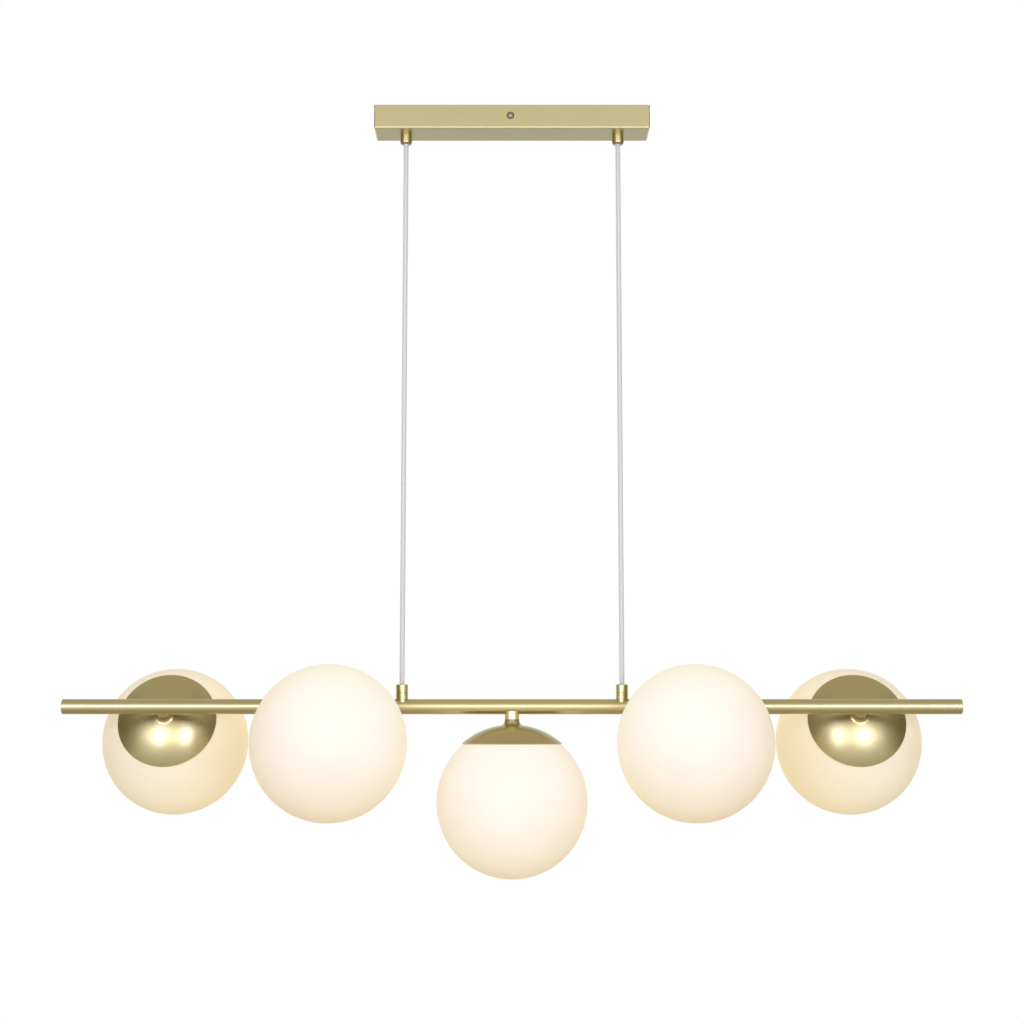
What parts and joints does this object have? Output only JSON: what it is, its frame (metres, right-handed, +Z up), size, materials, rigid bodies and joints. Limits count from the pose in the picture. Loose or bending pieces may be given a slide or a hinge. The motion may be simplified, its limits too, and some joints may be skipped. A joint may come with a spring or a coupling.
{
  "type": "pendant light",
  "caption": "Linear pendant light: opal glass globes on short arms from a straight brass bar, hung on two cords from a flat rectangular canopy.",
  "frame": {"origin": "middle of the ceiling plane, which the bracket and the rim of the canopy touch", "axes": "+Z up to the ceiling, +X along the bar, -Y towards the side that the lock screw and the two inner front globes are on"},
  "size_m": [0.9, 0.3242, 0.784],
  "materials": {
    "canopy_brass": "satin brass plate, light, with fine grain",
    "satin_brass": "satin brushed brass",
    "opal_glass": "opal white glass, lit warm from inside",
    "cord_grey": "light grey sheathed cable",
    "zinc_steel": "zinc plated sheet steel",
    "screw_steel": "bright nickel plated screw",
    "white_plastic": "white moulded plastic",
    "ceramic_white": "unglazed white ceramic",
    "bulb_white": "frosted bulb with white base",
    "silicone_clear": "translucent silicone"
  },
  "bodies": {
    "canopy": {"ceiling_bracket": "zinc_steel", "canopy_shell": "canopy_brass", "canopy_lock_screws": "screw_steel", "terminal_block": "white_plastic", "terminal_screws": "screw_steel", "canopy_lead_left": "cord_grey", "canopy_lead_right": "cord_grey", "upper_grip_left": "satin_brass", "upper_grip_right": "satin_brass", "upper_grip_nuts": "zinc_steel", "grip_bushings": "white_plastic"},
    "cord_tops": {"cord_top_left": "cord_grey", "cord_top_right": "cord_grey"},
    "left_cord": {"cord_left": "cord_grey"},
    "right_cord": {"cord_right": "cord_grey"},
    "left_foot": {"cord_foot_left": "cord_grey"},
    "bar": {"bar_tube": "satin_brass", "end_cap_left": "satin_brass", "end_cap_right": "satin_brass", "lower_grip_base_left": "satin_brass", "lower_grip_base_right": "satin_brass", "lower_grip_nut_left": "satin_brass", "lower_grip_nut_right": "satin_brass", "cord_collets": "white_plastic", "cord_foot_right": "cord_grey", "wiring_harness": "cord_grey", "lamp_nipples": "zinc_steel", "lamp_lock_nuts": "zinc_steel", "arm_1": "satin_brass", "cap_1": "satin_brass", "lampholder_1": "ceramic_white", "arm_2": "satin_brass", "cap_2": "satin_brass", "lampholder_2": "ceramic_white", "arm_3": "satin_brass", "cap_3": "satin_brass", "lampholder_3": "ceramic_white", "arm_4": "satin_brass", "cap_4": "satin_brass", "lampholder_4": "ceramic_white", "arm_5": "satin_brass", "cap_5": "satin_brass", "lampholder_5": "ceramic_white"},
    "seal_1": {"gasket_1": "silicone_clear"},
    "globe_1": {"globe_1": "opal_glass"},
    "bulb_1": {"bulb_1": "bulb_white"},
    "seal_2": {"gasket_2": "silicone_clear"},
    "globe_2": {"globe_2": "opal_glass"},
    "bulb_2": {"bulb_2": "bulb_white"},
    "seal_3": {"gasket_3": "silicone_clear"},
    "globe_3": {"globe_3": "opal_glass"},
    "bulb_3": {"bulb_3": "bulb_white"},
    "seal_4": {"gasket_4": "silicone_clear"},
    "globe_4": {"globe_4": "opal_glass"},
    "bulb_4": {"bulb_4": "bulb_white"},
    "seal_5": {"gasket_5": "silicone_clear"},
    "globe_5": {"globe_5": "opal_glass"},
    "bulb_5": {"bulb_5": "bulb_white"}
  },
  "joints": [
    {"name": "swing", "type": "hinge", "parent": "canopy", "child": "cord_tops", "pos_m": [0, 0, -0.037], "axis": [1, 0, 0], "range_deg": [-30, 30]},
    {"name": "sway", "type": "hinge", "parent": "cord_tops", "child": "left_cord", "pos_m": [-0.11, 0, -0.037], "axis": [0, 1, 0], "range_deg": [-25, 25]},
    {"name": "sway_right", "type": "hinge", "parent": "cord_tops", "child": "right_cord", "pos_m": [0.11, 0, -0.037], "axis": [0, 1, 0], "range_deg": [-25, 25]},
    {"name": "height", "type": "slide", "parent": "left_cord", "child": "left_foot", "axis": [0, 0, 1], "range_m": [0, 0.25], "deforming": ["cord_left", "cord_right"]},
    {"name": "bar_level", "type": "hinge", "parent": "left_foot", "child": "bar", "pos_m": [-0.11, 0, -0.592], "axis": [0, 1, 0], "range_deg": [-25, 25]},
    {"name": "globe_1_turn", "type": "hinge", "parent": "bar", "child": "seal_1", "pos_m": [-0.35, 0, -0.615], "axis": [0, 0.9272, -0.3746], "range_deg": [0, 720]},
    {"name": "globe_1_travel", "type": "slide", "parent": "seal_1", "child": "globe_1", "axis": [0, 0.9272, -0.3746], "range_m": [0, 0.006]},
    {"name": "bulb_1_pull", "type": "slide", "parent": "bar", "child": "bulb_1", "axis": [0, 0.9272, -0.3746], "range_m": [0, 0.012]},
    {"name": "globe_2_turn", "type": "hinge", "parent": "bar", "child": "seal_2", "pos_m": [-0.175, 0, -0.615], "axis": [0, -0.9272, -0.3746], "range_deg": [0, 720]},
    {"name": "globe_2_travel", "type": "slide", "parent": "seal_2", "child": "globe_2", "axis": [0, -0.9272, -0.3746], "range_m": [0, 0.006]},
    {"name": "bulb_2_pull", "type": "slide", "parent": "bar", "child": "bulb_2", "axis": [0, -0.9272, -0.3746], "range_m": [0, 0.012]},
    {"name": "globe_3_turn", "type": "hinge", "parent": "bar", "child": "seal_3", "pos_m": [0, 0, -0.615], "axis": [0, 0, -1], "range_deg": [0, 720]},
    {"name": "globe_3_travel", "type": "slide", "parent": "seal_3", "child": "globe_3", "axis": [0, 0, -1], "range_m": [0, 0.006]},
    {"name": "bulb_3_pull", "type": "slide", "parent": "bar", "child": "bulb_3", "axis": [0, 0, -1], "range_m": [0, 0.012]},
    {"name": "globe_4_turn", "type": "hinge", "parent": "bar", "child": "seal_4", "pos_m": [0.175, 0, -0.615], "axis": [0, -0.9272, -0.3746], "range_deg": [0, 720]},
    {"name": "globe_4_travel", "type": "slide", "parent": "seal_4", "child": "globe_4", "axis": [0, -0.9272, -0.3746], "range_m": [0, 0.006]},
    {"name": "bulb_4_pull", "type": "slide", "parent": "bar", "child": "bulb_4", "axis": [0, -0.9272, -0.3746], "range_m": [0, 0.012]},
    {"name": "globe_5_turn", "type": "hinge", "parent": "bar", "child": "seal_5", "pos_m": [0.35, 0, -0.615], "axis": [0, 0.9272, -0.3746], "range_deg": [0, 720]},
    {"name": "globe_5_travel", "type": "slide", "parent": "seal_5", "child": "globe_5", "axis": [0, 0.9272, -0.3746], "range_m": [0, 0.006]},
    {"name": "bulb_5_pull", "type": "slide", "parent": "bar", "child": "bulb_5", "axis": [0, 0.9272, -0.3746], "range_m": [0, 0.012]}
  ],
  "couplings": [
    {"joint": "sway_right", "follows": "sway", "ratio": 1},
    {"joint": "bar_level", "follows": "sway", "ratio": -1},
    {"joint": "globe_1_travel", "follows": "globe_1_turn", "m_per_rad": 0.00047746},
    {"joint": "globe_2_travel", "follows": "globe_2_turn", "m_per_rad": 0.00047746},
    {"joint": "globe_3_travel", "follows": "globe_3_turn", "m_per_rad": 0.00047746},
    {"joint": "globe_4_travel", "follows": "globe_4_turn", "m_per_rad": 0.00047746},
    {"joint": "globe_5_travel", "follows": "globe_5_turn", "m_per_rad": 0.00047746}
  ]
}
